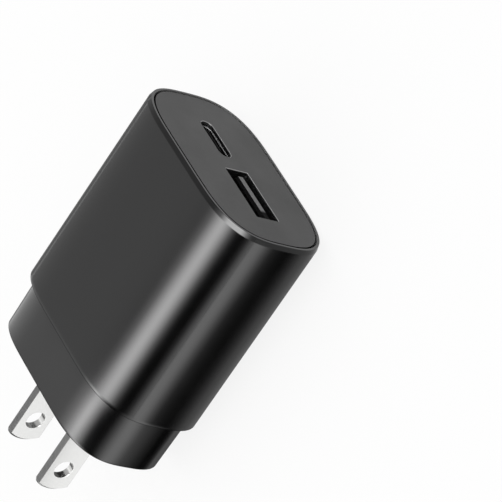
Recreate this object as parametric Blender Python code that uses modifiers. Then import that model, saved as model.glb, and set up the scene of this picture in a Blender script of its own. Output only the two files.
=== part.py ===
"""USB wall charger with two fixed blades, a wide port and a slim port, as separate pieces.

Lengths are in metres. X runs across the two blades, +Y points into the wall and +Z is up with
the charger lying on a broad side. The origin is the middle of the face that meets the wall.
"""
import math

import bmesh
import bpy
from mathutils import Vector

# Outer form: flat broad sides joined by squarish rounded ends
BODY_WIDTH = 0.0412
BODY_THICKNESS = 0.0232
FLAT_WIDTH = 0.0105
END_POWER = 3
END_STEPS = 32

# Sleeve, from the shadow groove behind the plug end to the rim round the ports
SLEEVE_LENGTH = 0.04
SLEEVE_WALL = 0.0018
RIM_WIDTH = 0.00065
RIM_CHAMFER = 0.0002
MOUTH_LIP = 0.0004
MOUTH_ROUND = 0.0002
GROOVE_DEPTH = 0.0009
RAIL_THICKNESS = 0.001
RAIL_GRIP = 0.0008

# Plug end that meets the wall, with the spigot that enters the sleeve
PLUG_LENGTH = 0.0102
PLUG_INSET = 0.0013
PLUG_FACE = 0.002
PLUG_ROUND = 0.00035
SPIGOT_LENGTH = 0.003
SPIGOT_WALL = 0.00095
SPIGOT_GAP = 0.00015

# Port plate let into the rim
PLATE_SETBACK = 0.00005
PLATE_THICKNESS = 0.0016
PLATE_GAP = 0.0003
PLATE_LIP = 0.0003
PLATE_ROUND = 0.0001
PORT_CHAMFER = 0.0002

# Blades, spaced and sized as a two-pin plug
PRONG_PITCH = 0.0127
PRONG_WIDTH = 0.0061
PRONG_THICKNESS = 0.0015
PRONG_REACH = 0.0163
PRONG_TIP_BULGE = 0.0008
PRONG_CHAMFER = 0.00045
PRONG_HOLE = 0.0036
PRONG_HOLE_REACH = 0.0116
PRONG_SHOULDER = 0.0001
PRONG_GAP = 0.0001
TAIL_WIDTH = 0.004
TAIL_LENGTH = 0.0025
CARRIER_DEPTH = 0.0045
CARRIER_WALL = 0.0012
SPRING_WIDTH = 0.003
SPRING_THICKNESS = 0.0003
SPRING_FOOT = 0.002
SPRING_ARCH = 0.0006

# Boards
BOARD_THICKNESS = 0.0012
BOARD_STANDOFF = 0.0019
BOARD_EDGE_GAP = 0.0004
BOARD_CORNER = 0.0006
BOARD_SLOT_WIDTH = 0.0012
PORT_BOARD_HEIGHT = 0.0148
PORT_BOARD_EDGE_GAP = 0.0012

# Wide port
WIDE_X = -0.0068
WIDE_MOUTH_WIDTH = 0.0129
WIDE_MOUTH_HEIGHT = 0.0052
WIDE_INNER_WIDTH = 0.0125
WIDE_INNER_HEIGHT = 0.00512
WIDE_CORNER = 0.0004
WIDE_TONGUE_WIDTH = 0.0111
WIDE_TONGUE_THICKNESS = 0.00184
WIDE_TONGUE_DROP = 0.00257
WIDE_TONGUE_SETBACK = 0.00015
WIDE_NOSE = 0.00042
WIDE_BASE_DEPTH = 0.003
WIDE_CONTACT_OFFSETS = (-0.0035, -0.001, 0.001, 0.0035)
CONTACT_WIDTH = 0.001
CONTACT_THICKNESS = 0.00025
CONTACT_SIDE_GAP = 0.00015
CONTACT_CREST = 0.0003
CONTACT_CREST_SETBACK = 0.0022
CONTACT_TIP_SETBACK = 0.001
CONTACT_ROOT = 0.001
CONTACT_GROOVE_DEPTH = 0.00095
CONTACT_GROOVE_NOSE = 0.0006
FINGER_WIDTH = 0.0018
FINGER_LENGTH = 0.0045
FINGER_SLIT = 0.0003
FINGER_SETBACK = 0.0014
FINGER_OFFSET = 0.0028

# Slim port
SLIM_X = 0.0079
SLIM_MOUTH_WIDTH = 0.0092
SLIM_MOUTH_HEIGHT = 0.00266
SLIM_INNER_WIDTH = 0.00834
SLIM_INNER_HEIGHT = 0.00256
SLIM_TONGUE_WIDTH = 0.00669
SLIM_TONGUE_THICKNESS = 0.0007
SLIM_TONGUE_CORNER = 0.0008
SLIM_TONGUE_SETBACK = 0.00005
SLIM_NOSE = 0.0002
SLIM_BASE_DEPTH = 0.0045
SLIM_PAD_OFFSETS = (-0.00075, 0.00125, 0.00275)
SLIM_PAD_WIDTH = 0.0005
SLIM_PAD_THICKNESS = 0.00012
SLIM_PAD_NOSE = 0.0009

# What both ports share
PORT_DEPTH = 0.0104
SHELL_SHEET = 0.0003
SHELL_GAP = 0.0002
INSULATOR_GAP = 0.0001
PAD_GAP = 0.00005

# Parts on the boards
BULK_DIAMETER = 0.008
BULK_COUNT = 2
OUTPUT_DIAMETER = 0.0063
OUTPUT_HEIGHT = 0.0085
OUTPUT_COUNT = 2
CAN_CRIMP = 0.0003
CAN_FOOT = 0.0012
CAN_NECK = 0.0012
CAN_ROUND = 0.0005
CHOKE_DIAMETER = 0.0065
CHOKE_HEIGHT = 0.008
CHOKE_WAIST = 0.0048
CHOKE_FLANGE = 0.0012
FUSE_DEPTH = 0.0038
FUSE_HEIGHT = 0.0075
CORE_LEG = 0.0024
CORE_WINDOW = 0.0022
CORE_BACK = 0.0024
BOBBIN_WALL = 0.0006
WINDING_OVERHANG = 0.001
SINK_THICKNESS = 0.0008
SINK_GAP = 0.0007
SINK_CORNER = 0.001
SAFETY_CAP_DIAMETER = 0.0066
SAFETY_CAP_THICKNESS = 0.003
CHIP_HEIGHT = 0.0011
CHIP_ROUND = 0.00015
SHEET_THICKNESS = 0.0002

# Clearances
SEAT_GAP = 0.0001
PART_GAP = 0.0004
PAST = 0.001
WELD = 0.000001
SHARP = math.radians(40)
TURN_STEPS = 24
CORNER_STEPS = 4

# Chips: width in X, length in Y, offset in X, distance from the front end of the main board
UNDERSIDE_CHIPS = {
    "sync_rectifier": (0.0049, 0.0039, -0.0055, 0.005),
    "optocoupler": (0.0046, 0.0026, 0.004, 0.0095),
    "power_switch": (0.006, 0.005, -0.0055, 0.0145),
    "bridge_rectifier": (0.0047, 0.0039, 0.005, 0.0155),
}
CONTROLLER_SIZE = 0.004
CONTROLLER_THICKNESS = 0.0008
CONTROLLER_DROP = 0.00065

# Finishes: colour, roughness, metallic
BLACK_PLASTIC = ((0.012, 0.012, 0.013), 0.3, 0)
WHITE_PLASTIC = ((0.75, 0.75, 0.73), 0.5, 0)
NICKEL = ((0.8, 0.8, 0.79), 0.22, 1)
DARK_STEEL = ((0.08, 0.08, 0.085), 0.35, 1)
GOLD = ((0.8, 0.6, 0.25), 0.3, 1)
GREEN_BOARD = ((0.02, 0.12, 0.05), 0.45, 0)
CAN_SLEEVE = ((0.03, 0.03, 0.035), 0.35, 0)
ALUMINIUM = ((0.7, 0.7, 0.72), 0.3, 1)
FERRITE = ((0.04, 0.04, 0.042), 0.6, 0)
YELLOW_TAPE = ((0.75, 0.55, 0.08), 0.4, 0)
BLUE_EPOXY = ((0.05, 0.15, 0.5), 0.4, 0)
COPPER = ((0.6, 0.25, 0.12), 0.35, 1)
FIBRE_SHEET = ((0.1, 0.1, 0.09), 0.8, 0)


def room_across(inset, z):
    """Half width of the cross-section, drawn in by inset, at height z."""
    half_height = BODY_THICKNESS / 2 - inset
    end_reach = BODY_WIDTH / 2 - FLAT_WIDTH / 2 - inset
    share = 1 - (abs(z) / half_height) ** END_POWER
    return FLAT_WIDTH / 2 + end_reach * share ** (1 / END_POWER)


def room_above(inset, x):
    """Half height of the cross-section, drawn in by inset, at distance x from the middle."""
    half_height = BODY_THICKNESS / 2 - inset
    end_reach = BODY_WIDTH / 2 - FLAT_WIDTH / 2 - inset
    share = max(abs(x) - FLAT_WIDTH / 2, 0) / end_reach
    return half_height * (1 - share ** END_POWER) ** (1 / END_POWER)


# Planes along Y, from the wall to the ports
sleeve_mouth = -PLUG_LENGTH
groove_floor = sleeve_mouth - GROOVE_DEPTH
spigot_end = groove_floor - SPIGOT_LENGTH
rim_front = sleeve_mouth - SLEEVE_LENGTH
plate_front = rim_front + PLATE_SETBACK
plate_back = plate_front + PLATE_THICKNESS
recess_floor = plate_back + SEAT_GAP
shell_front = plate_front + PLATE_LIP + SEAT_GAP
shell_back = shell_front + PORT_DEPTH
port_board_front = shell_back + SEAT_GAP
port_board_back = port_board_front + BOARD_THICKNESS
board_front = port_board_back + SEAT_GAP
board_back = -PLUG_FACE - PART_GAP
carrier_front = -PLUG_FACE - SEAT_GAP
carrier_back = carrier_front - CARRIER_DEPTH
tail_end = carrier_back - TAIL_LENGTH
spring_rise = tail_end - PART_GAP
primary_end = spring_rise - SPRING_FOOT - PART_GAP

# Insets of the plug end's spigot and room, and heights of the main board
spigot_inset = SLEEVE_WALL + SPIGOT_GAP
plug_room_inset = spigot_inset + SPIGOT_WALL
floor = SLEEVE_WALL - BODY_THICKNESS / 2
board_bottom = floor + BOARD_STANDOFF
board_top = board_bottom + BOARD_THICKNESS
part_foot = board_top + SEAT_GAP
board_half = room_across(plug_room_inset, board_bottom) - BOARD_EDGE_GAP
part_half = board_half - RAIL_GRIP - PART_GAP

# Two columns on the main board: bulk capacitors on one side, and on the other the transformer
# between the choke and the output capacitors; the transformer's core takes the width that is left
bulk_x = part_half - BULK_DIAMETER / 2
bulk_side = bulk_x - BULK_DIAMETER / 2
core_width = bulk_side - SINK_THICKNESS - 2 * SINK_GAP + part_half
core_post = core_width - 2 * CORE_LEG - 2 * CORE_WINDOW
core_x = core_width / 2 - part_half
core_top = room_above(plug_room_inset, part_half) - PART_GAP
transformer_back = primary_end - CHOKE_DIAMETER - PART_GAP
transformer_front = board_front + OUTPUT_DIAMETER + 2 * PART_GAP

AXES = "XYZ"
TURN_TO_AXIS = {
    "X": (math.pi / 2, 0, math.pi / 2),
    "Y": (math.pi / 2, 0, 0),
    "Z": (0, 0, 0),
}


def body_outline(inset):
    """Points of the body's cross-section in X and Z, drawn in by inset all round."""
    half_flat = FLAT_WIDTH / 2
    end_reach = BODY_WIDTH / 2 - half_flat - inset
    half_height = BODY_THICKNESS / 2 - inset
    power = 2 / END_POWER
    points = []
    for side in (1, -1):
        for step in range(END_STEPS + 1):
            angle = math.pi * (0.5 - step / END_STEPS)
            across = max(math.cos(angle), 0) ** power
            rise = math.copysign(abs(math.sin(angle)) ** power, math.sin(angle))
            points.append((side * (half_flat + end_reach * across), side * half_height * rise))
    return points


def rounded_rectangle(middle, width, height, radius, steps=CORNER_STEPS):
    """Outline of a rectangle with round corners; a radius of half the height gives round ends."""
    points = []
    for corner, (side_x, side_y) in enumerate(((1, 1), (-1, 1), (-1, -1), (1, -1))):
        corner_x = middle[0] + side_x * (width / 2 - radius)
        corner_y = middle[1] + side_y * (height / 2 - radius)
        for step in range(steps + 1):
            angle = math.pi / 2 * (corner + step / steps)
            point = Vector((corner_x + radius * math.cos(angle), corner_y + radius * math.sin(angle)))
            if not points or (point - points[-1]).length > WELD:
                points.append(point)
    if (points[0] - points[-1]).length < WELD:
        points.pop()
    return points


def circle(middle, diameter):
    """Outline of a round hole."""
    points = []
    for step in range(TURN_STEPS):
        angle = 2 * math.pi * step / TURN_STEPS
        spoke = Vector((math.cos(angle), math.sin(angle)))
        points.append(Vector(middle) + spoke * diameter / 2)
    return points


def strip_outline(path, thickness):
    """Outline of a bent strip that follows a path, with mitred corners."""
    one_side = []
    other_side = []
    for index, point in enumerate(path):
        here = Vector(point)
        after = Vector(path[min(index + 1, len(path) - 1)])
        before = Vector(path[max(index - 1, 0)])
        leaving = (after - here) if after != here else (here - before)
        arriving = (here - before) if before != here else leaving
        across = arriving.normalized().orthogonal() + leaving.normalized().orthogonal()
        across *= thickness / across.length_squared
        one_side.append(here + across)
        other_side.append(here - across)
    return one_side + other_side[::-1]


for old in list(bpy.data.objects):
    bpy.data.objects.remove(old)

parts = bpy.data.collections.new("parts")
cutters = bpy.data.collections.new("cutters")
bpy.context.scene.collection.children.link(parts)
bpy.context.scene.collection.children.link(cutters)
charger = bpy.data.objects.new("usb_wall_charger", None)
parts.objects.link(charger)


def place_in(group, solid):
    """Link an object to its collection; pieces hang on the charger, cutters are drawn as wire."""
    group.objects.link(solid)
    if group == parts:
        solid.parent = charger
    else:
        solid.display_type = "WIRE"
        solid.hide_render = True
    return solid


def prism(name, loops, axis, low, high, group=parts):
    """Solid between two planes across an axis, from flat outlines; an inner outline is a hole."""
    outline = bpy.data.curves.new(name + "_outline", "CURVE")
    outline.dimensions = "2D"
    outline.fill_mode = "BOTH"
    outline.extrude = (high - low) / 2
    for loop in loops:
        spline = outline.splines.new("POLY")
        spline.points.add(len(loop) - 1)
        for point, spot in zip(spline.points, loop):
            point.co = (spot[0], spot[1], 0, 1)
        spline.use_cyclic_u = True
    curve = place_in(cutters, bpy.data.objects.new(name + "_outline", outline))
    curve.rotation_euler = TURN_TO_AXIS[axis]
    curve.location[AXES.index(axis)] = (low + high) / 2
    bpy.context.view_layer.update()
    evaluated = curve.evaluated_get(bpy.context.evaluated_depsgraph_get())
    mesh = bpy.data.meshes.new_from_object(evaluated)
    shape = bmesh.new()
    shape.from_mesh(mesh)
    bmesh.ops.remove_doubles(shape, verts=shape.verts, dist=WELD)
    bmesh.ops.recalc_face_normals(shape, faces=shape.faces)
    shape.to_mesh(mesh)
    shape.free()
    solid = place_in(group, bpy.data.objects.new(name, mesh))
    solid.matrix_world = curve.matrix_world
    bpy.data.objects.remove(curve)
    return solid


def block(name, low, high, group=parts):
    """Box between two corners."""
    mesh = bpy.data.meshes.new(name)
    shape = bmesh.new()
    bmesh.ops.create_cube(shape, size=1)
    bmesh.ops.scale(shape, vec=[top - foot for foot, top in zip(low, high)], verts=shape.verts)
    shape.to_mesh(mesh)
    shape.free()
    solid = place_in(group, bpy.data.objects.new(name, mesh))
    solid.location = [(foot + top) / 2 for foot, top in zip(low, high)]
    return solid


def turned(name, profile, foot):
    """Solid turned about a vertical axis from a profile that runs down its outer side."""
    mesh = bpy.data.meshes.new(name)
    edges = [(step, step + 1) for step in range(len(profile) - 1)]
    mesh.from_pydata([(radius, 0, height) for radius, height in profile], edges, [])
    solid = place_in(parts, bpy.data.objects.new(name, mesh))
    solid.location = foot
    lathe = solid.modifiers.new("Turn", "SCREW")
    lathe.steps = TURN_STEPS
    lathe.render_steps = TURN_STEPS
    lathe.use_merge_vertices = True
    lathe.merge_threshold = WELD
    return solid


def soften(solid, width, segments=1):
    """Break all sharp edges of a solid."""
    bevel = solid.modifiers.new("Soft edges", "BEVEL")
    bevel.width = width
    bevel.segments = segments
    bevel.limit_method = "ANGLE"
    bevel.angle_limit = SHARP


def round_rim(solid, axis, plane, width, segments, near=None):
    """Round the sharp edges in one plane across an axis, or chamfer them if one segment is given."""
    shape = bmesh.new()
    shape.from_mesh(solid.data)
    index = AXES.index(axis)
    rim = []
    for edge in shape.edges:
        ends = [solid.matrix_world @ corner.co for corner in edge.verts]
        level = all(abs(end[index] - plane) < WELD for end in ends)
        wanted = near is None or all(near(end) for end in ends)
        if level and wanted and edge.calc_face_angle(0) > SHARP:
            rim.append(edge)
    bmesh.ops.bevel(shape, geom=rim, offset=width, segments=segments, profile=0.5, affect="EDGES")
    shape.to_mesh(solid.data)
    shape.free()


def combine(solid, other, operation):
    """Cut another solid out of this one, or join it on."""
    step = solid.modifiers.new(other.name, "BOOLEAN")
    step.operation = operation
    step.object = other
    step.solver = "EXACT"


def finish(solid, look):
    """Give a piece its own material and smooth shading with crisp edges."""
    colour, roughness, metallic = look
    material = bpy.data.materials.new(solid.name)
    material.use_nodes = True
    shader = material.node_tree.nodes["Principled BSDF"]
    shader.inputs["Base Color"].default_value = (*colour, 1)
    shader.inputs["Roughness"].default_value = roughness
    shader.inputs["Metallic"].default_value = metallic
    material.diffuse_color = (*colour, 1)
    solid.data.materials.append(material)
    solid.data.shade_smooth()
    solid.data.set_sharp_from_angle(angle=SHARP)


def make_sleeve():
    """Outer sleeve with a chamfered rim, a seat for the port plate, board rails and a mouth lip."""
    sleeve = prism("body_sleeve", [body_outline(0)], "Y", rim_front, sleeve_mouth)
    round_rim(sleeve, "Y", rim_front, RIM_CHAMFER, 1)
    round_rim(sleeve, "Y", sleeve_mouth, MOUTH_ROUND, 1)
    room = prism("sleeve_room", [body_outline(SLEEVE_WALL)], "Y", recess_floor - PAST / 2,
                 sleeve_mouth + PAST, cutters)
    rail_heights = {
        "lower": (board_bottom - SEAT_GAP - RAIL_THICKNESS, board_bottom - SEAT_GAP),
        "upper": (board_top + SEAT_GAP, board_top + SEAT_GAP + RAIL_THICKNESS),
    }
    for side, label in ((-1, "left"), (1, "right")):
        for level, (low, high) in rail_heights.items():
            inner = side * (board_half - RAIL_GRIP)
            outer = side * BODY_WIDTH / 2
            rail = block(level + "_rail_" + label, (min(inner, outer), board_front, low),
                         (max(inner, outer), spigot_end - PART_GAP, high), cutters)
            combine(room, rail, "DIFFERENCE")
    combine(sleeve, room, "DIFFERENCE")
    recess = prism("plate_recess", [body_outline(RIM_WIDTH)], "Y", rim_front - PAST, recess_floor,
                   cutters)
    combine(sleeve, recess, "DIFFERENCE")
    groove = prism("mouth_groove", [body_outline(MOUTH_LIP)], "Y", groove_floor,
                   sleeve_mouth + PAST, cutters)
    combine(sleeve, groove, "DIFFERENCE")
    finish(sleeve, BLACK_PLASTIC)


def make_plug_end():
    """Cup that meets the wall: a plain face with two blade slots, and a spigot in the sleeve."""
    cup = prism("plug_cap", [body_outline(PLUG_INSET)], "Y", groove_floor + SEAT_GAP, 0)
    round_rim(cup, "Y", 0, PLUG_ROUND, 2)
    spigot = prism("plug_spigot", [body_outline(spigot_inset)], "Y", spigot_end, -PLUG_FACE,
                   cutters)
    combine(cup, spigot, "UNION")
    room = prism("plug_room", [body_outline(plug_room_inset)], "Y", spigot_end - PAST,
                 -PLUG_FACE, cutters)
    combine(cup, room, "DIFFERENCE")
    for side, label in ((-1, "left"), (1, "right")):
        slot = blade_slot("plug_slot_" + label, side, -PLUG_FACE - PAST, PAST)
        combine(cup, slot, "DIFFERENCE")
    finish(cup, BLACK_PLASTIC)


def blade_slot(name, side, low, high):
    """Cutter for the slot that a blade's root passes through, a little larger than the root."""
    middle = side * PRONG_PITCH / 2
    half_x = PRONG_THICKNESS / 2 - PRONG_SHOULDER + PRONG_GAP
    half_z = PRONG_WIDTH / 2 - PRONG_SHOULDER + PRONG_GAP
    return block(name, (middle - half_x, low, -half_z), (middle + half_x, high, half_z), cutters)


def make_prongs():
    """Two blades with arched chamfered tips and a round hole, each on a thinner root with a tail."""
    half = PRONG_WIDTH / 2
    tip_start = PRONG_REACH - PRONG_TIP_BULGE
    radius = (half ** 2 + PRONG_TIP_BULGE ** 2) / (2 * PRONG_TIP_BULGE)
    sweep = math.asin(half / radius)
    tip = []
    for step in range(2 * CORNER_STEPS + 1):
        angle = sweep * (step / CORNER_STEPS - 1)
        tip.append((PRONG_REACH - radius * (1 - math.cos(angle)), radius * math.sin(angle)))
    foot = [(SEAT_GAP, half), (SEAT_GAP, -half)]
    hole = circle((PRONG_HOLE_REACH, 0), PRONG_HOLE)
    root_half = half - PRONG_SHOULDER
    root = [
        (SEAT_GAP + PAST, root_half),
        (carrier_back, root_half),
        (carrier_back, TAIL_WIDTH / 2),
        (tail_end, TAIL_WIDTH / 2),
    ]
    root += [(y, -z) for y, z in reversed(root)]
    for side, label in ((-1, "left"), (1, "right")):
        middle = side * PRONG_PITCH / 2
        low = middle - PRONG_THICKNESS / 2
        high = middle + PRONG_THICKNESS / 2
        blade = prism("prong_" + label, [tip + foot, hole], "X", low, high)
        for plane in (low, high):
            round_rim(blade, "X", plane, PRONG_CHAMFER, 1, lambda spot: spot.y > tip_start - WELD)
        blade_root = prism("blade_root_" + label, [root], "X", low + PRONG_SHOULDER,
                           high - PRONG_SHOULDER, cutters)
        combine(blade, blade_root, "UNION")
        finish(blade, NICKEL)


def make_carrier():
    """Insulating block behind the plug face that grips both blades."""
    width = PRONG_PITCH + PRONG_THICKNESS + 2 * CARRIER_WALL
    height = PRONG_WIDTH + 2 * CARRIER_WALL
    outline = rounded_rectangle((0, 0), width, height, CARRIER_WALL)
    carrier = prism("prong_carrier", [outline], "Y", carrier_back, carrier_front)
    for side, label in ((-1, "left"), (1, "right")):
        slot = blade_slot("carrier_slot_" + label, side, carrier_back - PAST, carrier_front + PAST)
        combine(carrier, slot, "DIFFERENCE")
    finish(carrier, WHITE_PLASTIC)


def make_blade_springs():
    """Bent leaves that carry current from the blade tails down to the main board."""
    foot = part_foot + SPRING_THICKNESS / 2
    leaf = -TAIL_WIDTH / 2 - SEAT_GAP - SPRING_THICKNESS / 2
    path = [
        (spring_rise - SPRING_FOOT, foot),
        (spring_rise, foot),
        (spring_rise, leaf - SPRING_ARCH),
        (spring_rise + SPRING_ARCH, leaf),
        (carrier_back - PART_GAP, leaf),
    ]
    outline = strip_outline(path, SPRING_THICKNESS)
    for side, label in ((-1, "left"), (1, "right")):
        middle = side * PRONG_PITCH / 2
        spring = prism("blade_spring_" + label, [outline], "X", middle - SPRING_WIDTH / 2,
                       middle + SPRING_WIDTH / 2)
        finish(spring, COPPER)


def make_boards():
    """Main board on the sleeve's rails, upright port board, and the sheet under the main board."""
    middle = (board_front + board_back) / 2
    outline = rounded_rectangle((0, middle), 2 * board_half, board_back - board_front, BOARD_CORNER)
    slot_middle = (core_x, (transformer_front + transformer_back) / 2)
    slot = rounded_rectangle(slot_middle, core_width / 2, BOARD_SLOT_WIDTH, BOARD_SLOT_WIDTH / 2)
    finish(prism("main_board", [outline, slot], "Z", board_bottom, board_top), GREEN_BOARD)

    width = 2 * (room_across(SLEEVE_WALL, board_bottom) - PORT_BOARD_EDGE_GAP)
    upright = rounded_rectangle((0, board_bottom + PORT_BOARD_HEIGHT / 2), width,
                                PORT_BOARD_HEIGHT, BOARD_CORNER)
    finish(prism("port_board", [upright], "Y", port_board_front, port_board_back), GREEN_BOARD)

    sheet_back = spigot_end - PART_GAP
    sheet_middle = (0, (board_front + sheet_back) / 2)
    low = floor + SEAT_GAP
    sheet_half = room_across(SLEEVE_WALL, low) - PART_GAP
    outline = rounded_rectangle(sheet_middle, 2 * sheet_half, sheet_back - board_front, BOARD_CORNER)
    sheet = prism("insulation_sheet", [outline], "Z", low, low + SHEET_THICKNESS)
    finish(sheet, FIBRE_SHEET)


def in_mouth(spot):
    """Whether a spot on the port plate lies in or on the edge of a port's mouth."""
    mouths = (
        (WIDE_X, WIDE_MOUTH_WIDTH, WIDE_MOUTH_HEIGHT),
        (SLIM_X, SLIM_MOUTH_WIDTH, SLIM_MOUTH_HEIGHT),
    )
    for x, width, height in mouths:
        if abs(spot.x - x) < width / 2 + WELD and abs(spot.z) < height / 2 + WELD:
            return True
    return False


def make_port_plate():
    """Front plate with the two port mouths, each stepped behind to take the front of its shell."""
    edge = body_outline(RIM_WIDTH + PLATE_GAP)
    wide_mouth = rounded_rectangle((WIDE_X, 0), WIDE_MOUTH_WIDTH, WIDE_MOUTH_HEIGHT, WIDE_CORNER)
    slim_mouth = rounded_rectangle((SLIM_X, 0), SLIM_MOUTH_WIDTH, SLIM_MOUTH_HEIGHT,
                                   SLIM_MOUTH_HEIGHT / 2)
    plate = prism("port_plate", [edge, wide_mouth, slim_mouth], "Y", plate_front, plate_back)
    round_rim(plate, "Y", plate_front, PORT_CHAMFER, 1, in_mouth)
    round_rim(plate, "Y", plate_front, PLATE_ROUND, 1, lambda spot: not in_mouth(spot))
    seats = {
        "wide": (WIDE_X, WIDE_INNER_WIDTH, WIDE_INNER_HEIGHT, WIDE_CORNER),
        "slim": (SLIM_X, SLIM_INNER_WIDTH, SLIM_INNER_HEIGHT, SLIM_INNER_HEIGHT / 2),
    }
    grow = SHELL_SHEET + SHELL_GAP
    for label, (x, width, height, corner) in seats.items():
        outline = rounded_rectangle((x, 0), width + 2 * grow, height + 2 * grow, corner + grow)
        seat = prism(label + "_seat", [outline], "Y", plate_front + PLATE_LIP, plate_back + PAST,
                     cutters)
        combine(plate, seat, "DIFFERENCE")
    finish(plate, BLACK_PLASTIC)


def make_shell(name, x, inner_width, inner_height, inner_corner):
    """Folded sheet shell of a port, open at both ends."""
    inner = rounded_rectangle((x, 0), inner_width, inner_height, inner_corner)
    outer = rounded_rectangle((x, 0), inner_width + 2 * SHELL_SHEET, inner_height + 2 * SHELL_SHEET,
                              inner_corner + SHELL_SHEET)
    return prism(name, [outer, inner], "Y", shell_front, shell_back)


def make_wide_port():
    """Wide port: shell with grip fingers, insulator with a grooved tongue, four spring contacts."""
    shell = make_shell("usb_a_shell", WIDE_X, WIDE_INNER_WIDTH, WIDE_INNER_HEIGHT, WIDE_CORNER)
    wall = WIDE_INNER_HEIGHT / 2
    finger_front = shell_front + FINGER_SETBACK
    half = FINGER_WIDTH / 2
    for side, label in ((-1, "left"), (1, "right")):
        x = WIDE_X + side * FINGER_OFFSET
        slit = [
            (x - half, finger_front + FINGER_LENGTH),
            (x - half, finger_front),
            (x + half, finger_front),
            (x + half, finger_front + FINGER_LENGTH),
        ]
        slit_outline = strip_outline(slit, FINGER_SLIT)
        cutter = prism("finger_slits_" + label, [slit_outline], "Z", -wall - PAST, wall + PAST,
                       cutters)
        combine(shell, cutter, "DIFFERENCE")
    finish(shell, DARK_STEEL)

    base_front = shell_back - WIDE_BASE_DEPTH
    base_outline = rounded_rectangle((WIDE_X, 0), WIDE_INNER_WIDTH - 2 * INSULATOR_GAP,
                                     WIDE_INNER_HEIGHT - 2 * INSULATOR_GAP, WIDE_CORNER)
    insulator = prism("usb_a_insulator", [base_outline], "Y", base_front, shell_back)
    tongue_front = shell_front + WIDE_TONGUE_SETBACK
    tongue_top = wall - WIDE_TONGUE_DROP
    tongue_bottom = tongue_top - WIDE_TONGUE_THICKNESS
    tongue_back = base_front + PAST
    side_view = [
        (tongue_back, tongue_bottom),
        (tongue_back, tongue_top),
        (tongue_front + WIDE_NOSE, tongue_top),
        (tongue_front, tongue_top - WIDE_NOSE),
        (tongue_front, tongue_bottom + WIDE_NOSE),
        (tongue_front + WIDE_NOSE, tongue_bottom),
    ]
    tongue = prism("usb_a_tongue", [side_view], "X", WIDE_X - WIDE_TONGUE_WIDTH / 2,
                   WIDE_X + WIDE_TONGUE_WIDTH / 2, cutters)
    combine(insulator, tongue, "UNION")

    # Each contact bends about a line across its root, where its origin lies
    bend_y = base_front + CONTACT_ROOT / 2
    bend_z = tongue_top - CONTACT_GROOVE_DEPTH / 2
    path = [
        (CONTACT_ROOT / 2, 0),
        (-CONTACT_ROOT / 2, 0),
        (tongue_front + CONTACT_CREST_SETBACK - bend_y, tongue_top + CONTACT_CREST - bend_z),
        (tongue_front + CONTACT_TIP_SETBACK - bend_y, tongue_top - bend_z),
    ]
    contact_outline = strip_outline(path, CONTACT_THICKNESS)
    half_groove = CONTACT_WIDTH / 2 + CONTACT_SIDE_GAP
    groove_low = (tongue_front + CONTACT_GROOVE_NOSE, tongue_top - CONTACT_GROOVE_DEPTH)
    groove_high = (base_front + CONTACT_ROOT + PART_GAP, tongue_top + PART_GAP)
    for number, offset in enumerate(WIDE_CONTACT_OFFSETS, start=1):
        x = WIDE_X + offset
        contact = prism(f"usb_a_contact_{number}", [contact_outline], "X", x - CONTACT_WIDTH / 2,
                        x + CONTACT_WIDTH / 2)
        contact.location = (x, bend_y, bend_z)
        finish(contact, GOLD)
        groove = block(f"contact_groove_{number}", (x - half_groove, *groove_low),
                       (x + half_groove, *groove_high), cutters)
        combine(insulator, groove, "DIFFERENCE")
    finish(insulator, BLACK_PLASTIC)


def make_slim_port():
    """Slim port: round-ended shell, insulator with a thin tongue, pads on both faces of the tongue."""
    shell = make_shell("usb_c_shell", SLIM_X, SLIM_INNER_WIDTH, SLIM_INNER_HEIGHT,
                       SLIM_INNER_HEIGHT / 2)
    finish(shell, DARK_STEEL)
    base_front = shell_back - SLIM_BASE_DEPTH
    base_width = SLIM_INNER_WIDTH - 2 * INSULATOR_GAP
    base_height = SLIM_INNER_HEIGHT - 2 * INSULATOR_GAP
    base_outline = rounded_rectangle((SLIM_X, 0), base_width, base_height, base_height / 2)
    insulator = prism("usb_c_insulator", [base_outline], "Y", base_front, shell_back)
    tongue_front = shell_front + SLIM_TONGUE_SETBACK
    tongue_back = base_front + PAST
    plan = rounded_rectangle((SLIM_X, (tongue_front + tongue_back) / 2), SLIM_TONGUE_WIDTH,
                             tongue_back - tongue_front, SLIM_TONGUE_CORNER)
    half = SLIM_TONGUE_THICKNESS / 2
    tongue = prism("usb_c_tongue", [plan], "Z", -half, half, cutters)
    for plane in (-half, half):
        round_rim(tongue, "Z", plane, SLIM_NOSE, 1,
                  lambda spot: spot.y < tongue_front + SLIM_TONGUE_CORNER + WELD)
    combine(insulator, tongue, "UNION")
    finish(insulator, BLACK_PLASTIC)
    # The pads underneath lie as those on top would after half a turn, so that a plug fits both ways
    pad_front = tongue_front + SLIM_PAD_NOSE
    pad_back = base_front - PAD_GAP
    number = 0
    for face in (1, -1):
        middle = face * (half + PAD_GAP + SLIM_PAD_THICKNESS / 2)
        low = middle - SLIM_PAD_THICKNESS / 2
        high = middle + SLIM_PAD_THICKNESS / 2
        for offset in SLIM_PAD_OFFSETS:
            number += 1
            x = SLIM_X + face * offset
            pad = block(f"usb_c_contact_{number}", (x - SLIM_PAD_WIDTH / 2, pad_front, low),
                        (x + SLIM_PAD_WIDTH / 2, pad_back, high))
            finish(pad, GOLD)


def make_can(name, x, y, diameter, height, look):
    """Capacitor can with a crimped neck near its foot and a rounded top edge."""
    radius = diameter / 2
    crimp = radius - CAN_CRIMP
    profile = [
        (0, height),
        (radius - CAN_ROUND, height),
        (radius, height - CAN_ROUND),
        (radius, CAN_FOOT + CAN_NECK),
        (crimp, CAN_FOOT + CAN_NECK / 2),
        (radius, CAN_FOOT),
        (radius, CAN_CRIMP),
        (crimp, 0),
        (0, 0),
    ]
    finish(turned(name, profile, (x, y, part_foot)), look)


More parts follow.
